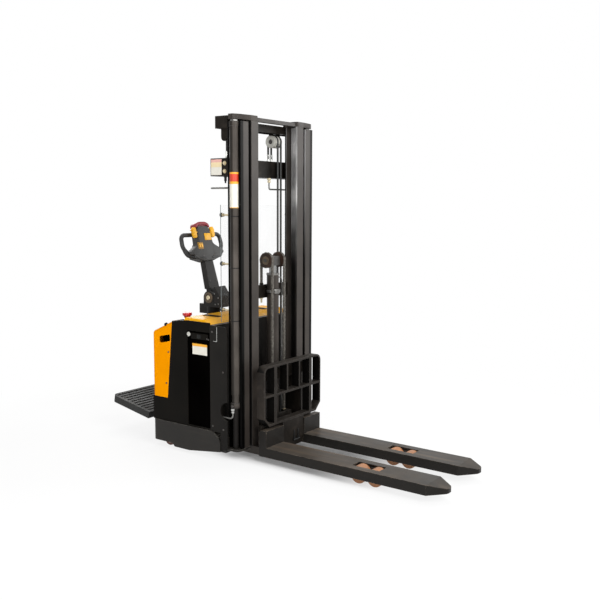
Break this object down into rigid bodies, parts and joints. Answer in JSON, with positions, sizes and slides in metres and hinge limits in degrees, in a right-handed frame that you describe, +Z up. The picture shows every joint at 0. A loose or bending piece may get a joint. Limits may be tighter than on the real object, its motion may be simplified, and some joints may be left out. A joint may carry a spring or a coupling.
{
  "type": "electric stacker",
  "caption": "Ride-on electric stacker: telescopic mast, straddling forks with backrest, boxed body with hood, tiller with looped grips and a fold-up operator platform.",
  "frame": {"origin": "on the floor, midway between the fork tips and the platform's rear edge, on the truck's centre plane", "axes": "+X towards the fork tips, +Y to the left of an operator who faces the forks, +Z up"},
  "size_m": [2.4592, 0.82, 2.09],
  "materials": {
    "mast_paint": "satin black",
    "body_paint": "satin black",
    "grey_paint": "satin dark grey",
    "yellow_cover": "yellow-orange, semi-gloss",
    "yellow_key": "yellow, semi-gloss",
    "red_key": "red, semi-gloss",
    "head_plastic": "dark grey, fine grain",
    "arm_metal": "dark grey coating",
    "steel": "bright ground steel",
    "dark_steel": "oiled dark steel",
    "wheel_tread": "amber polyurethane",
    "mat_rubber": "black ribbed mat",
    "hose_rubber": "black",
    "clear_sheet": "clear sheet",
    "pale_nylon": "pale grey nylon",
    "case_plastic": "black case"
  },
  "bodies": {
    "truck": {"chassis_frame": "body_paint", "bumper_skirt": "body_paint", "support_legs": "mast_paint", "load_wheel_axles": "steel", "outer_uprights": "mast_paint", "rear_top_beam": "mast_paint", "mid_beam": "mast_paint", "side_cylinders": "mast_paint", "cylinder_pipes": "steel", "side_panels": "body_paint", "front_plates": "grey_paint", "side_covers": "yellow_cover", "rear_cover": "body_paint", "top_deck": "body_paint", "battery_hood": "yellow_cover", "battery": "case_plastic", "pump_unit": "case_plastic", "controller": "case_plastic", "steering_bearing": "dark_steel", "mast_guard": "clear_sheet", "guard_bolts": "steel", "lift_hoses": "hose_rubber"},
    "hose_pulley": {"hose_pulley": "pale_nylon"},
    "inner_mast": {"inner_uprights": "mast_paint", "inner_top_frame": "mast_paint", "inner_mid_bar": "mast_paint", "inner_base_bar": "mast_paint", "free_lift_cylinder": "mast_paint", "side_cylinder_rods": "steel", "mast_rollers": "dark_steel"},
    "crosshead": {"crosshead": "dark_steel", "chains_front": "dark_steel", "chains_rear": "dark_steel"},
    "chain_pulley_left": {"chain_pulley_left": "dark_steel"},
    "chain_pulley_right": {"chain_pulley_right": "dark_steel"},
    "carriage": {"carriage_frame": "mast_paint", "fork_left": "mast_paint", "fork_right": "mast_paint", "load_backrest": "mast_paint", "carriage_rollers": "dark_steel"},
    "steering": {"drive_unit": "dark_steel", "tiller_base": "grey_paint"},
    "drive_wheel": {"drive_wheel": "wheel_tread"},
    "tiller": {"tiller_arm": "arm_metal", "tiller_head": "head_plastic", "grip_loops": "head_plastic"},
    "belly_button": {"belly_button": "red_key"},
    "throttle_butterflies": {"throttle_butterflies": "yellow_key"},
    "raise_button": {"raise_button": "yellow_key"},
    "lower_button": {"lower_button": "yellow_key"},
    "stop_button": {"stop_button": "red_key"},
    "platform": {"platform": "mat_rubber"},
    "castor_bracket_left": {"castor_bracket_left": "dark_steel"},
    "castor_wheel_left": {"castor_wheel_left": "wheel_tread"},
    "load_wheel_front_left": {"load_wheel_front_left": "wheel_tread"},
    "load_wheel_rear_left": {"load_wheel_rear_left": "wheel_tread"},
    "castor_bracket_right": {"castor_bracket_right": "dark_steel"},
    "castor_wheel_right": {"castor_wheel_right": "wheel_tread"},
    "load_wheel_front_right": {"load_wheel_front_right": "wheel_tread"},
    "load_wheel_rear_right": {"load_wheel_rear_right": "wheel_tread"}
  },
  "joints": [
    {"name": "mast_lift", "type": "slide", "parent": "truck", "child": "inner_mast", "axis": [0, 0, 1], "range_m": [0, 1.45]},
    {"name": "carriage_lift", "type": "slide", "parent": "inner_mast", "child": "carriage", "axis": [0, 0, 1], "range_m": [0, 1.45], "deforming": ["chains_front"]},
    {"name": "crosshead_lift", "type": "slide", "parent": "inner_mast", "child": "crosshead", "axis": [0, 0, 1], "range_m": [0, 0.725], "deforming": ["chains_rear"]},
    {"name": "steer", "type": "hinge", "parent": "truck", "child": "steering", "pos_m": [-0.61638, 0, 0.3], "axis": [0, 0, 1], "range_deg": [-90, 90]},
    {"name": "drive_wheel_spin", "type": "hinge", "parent": "steering", "child": "drive_wheel", "pos_m": [-0.61638, 0, 0.125], "axis": [0, 1, 0], "continuous": true},
    {"name": "tiller_tilt", "type": "hinge", "parent": "steering", "child": "tiller", "pos_m": [-0.61138, 0, 0.951], "axis": [0, -1, 0], "range_deg": [0, 62], "stiffness_Nm_per_rad": 20, "springref_deg": -34.38},
    {"name": "belly_press", "type": "slide", "parent": "tiller", "child": "belly_button", "axis": [0.2588, 0, -0.9659], "range_m": [0, 0.008], "stiffness_N_per_m": 800, "springref_m": -0.004},
    {"name": "throttle_turn", "type": "hinge", "parent": "tiller", "child": "throttle_butterflies", "pos_m": [-0.70427, 0, 1.38267], "axis": [0, 1, 0], "range_deg": [-20, 20], "stiffness_Nm_per_rad": 0.5},
    {"name": "stop_press", "type": "slide", "parent": "truck", "child": "stop_button", "axis": [0, 0, -1], "range_m": [0, 0.008]},
    {"name": "platform_fold", "type": "hinge", "parent": "truck", "child": "platform", "pos_m": [-0.83638, 0, 0.16], "axis": [0, 1, 0], "range_deg": [0, 79]},
    {"name": "hose_pulley_spin", "type": "hinge", "parent": "truck", "child": "hose_pulley", "pos_m": [-0.21638, 0.152, 1.9655], "axis": [0, 1, 0], "continuous": true},
    {"name": "raise_press", "type": "slide", "parent": "tiller", "child": "raise_button", "axis": [-0.9659, 0, -0.2588], "range_m": [0, 0.003], "stiffness_N_per_m": 300, "springref_m": -0.003},
    {"name": "lower_press", "type": "slide", "parent": "tiller", "child": "lower_button", "axis": [-0.9659, 0, -0.2588], "range_m": [0, 0.003], "stiffness_N_per_m": 300, "springref_m": -0.003},
    {"name": "chain_pulley_left_spin", "type": "hinge", "parent": "crosshead", "child": "chain_pulley_left", "pos_m": [-0.11138, 0.061, 1.222], "axis": [0, -1, 0], "continuous": true},
    {"name": "castor_left_swivel", "type": "hinge", "parent": "truck", "child": "castor_bracket_left", "pos_m": [-0.67638, 0.32396, 0.128], "axis": [0, 0, 1], "continuous": true},
    {"name": "castor_left_spin", "type": "hinge", "parent": "castor_bracket_left", "child": "castor_wheel_left", "pos_m": [-0.69838, 0.32396, 0.045], "axis": [0, 1, 0], "continuous": true},
    {"name": "load_wheel_front_left_spin", "type": "hinge", "parent": "truck", "child": "load_wheel_front_left", "pos_m": [0.78562, 0.197, 0.05], "axis": [0, 1, 0], "continuous": true},
    {"name": "load_wheel_rear_left_spin", "type": "hinge", "parent": "truck", "child": "load_wheel_rear_left", "pos_m": [0.67962, 0.197, 0.05], "axis": [0, 1, 0], "continuous": true},
    {"name": "chain_pulley_right_spin", "type": "hinge", "parent": "crosshead", "child": "chain_pulley_right", "pos_m": [-0.11138, -0.061, 1.222], "axis": [0, -1, 0], "continuous": true},
    {"name": "castor_right_swivel", "type": "hinge", "parent": "truck", "child": "castor_bracket_right", "pos_m": [-0.67638, -0.32396, 0.128], "axis": [0, 0, 1], "continuous": true},
    {"name": "castor_right_spin", "type": "hinge", "parent": "castor_bracket_right", "child": "castor_wheel_right", "pos_m": [-0.69838, -0.32396, 0.045], "axis": [0, 1, 0], "continuous": true},
    {"name": "load_wheel_front_right_spin", "type": "hinge", "parent": "truck", "child": "load_wheel_front_right", "pos_m": [0.78562, -0.197, 0.05], "axis": [0, 1, 0], "continuous": true},
    {"name": "load_wheel_rear_right_spin", "type": "hinge", "parent": "truck", "child": "load_wheel_rear_right", "pos_m": [0.67962, -0.197, 0.05], "axis": [0, 1, 0], "continuous": true}
  ],
  "couplings": [
    {"joint": "crosshead_lift", "follows": "carriage_lift", "ratio": 0.5},
    {"joint": "chain_pulley_left_spin", "follows": "carriage_lift", "rad_per_m": 11.494},
    {"joint": "chain_pulley_right_spin", "follows": "carriage_lift", "rad_per_m": 11.494}
  ]
}
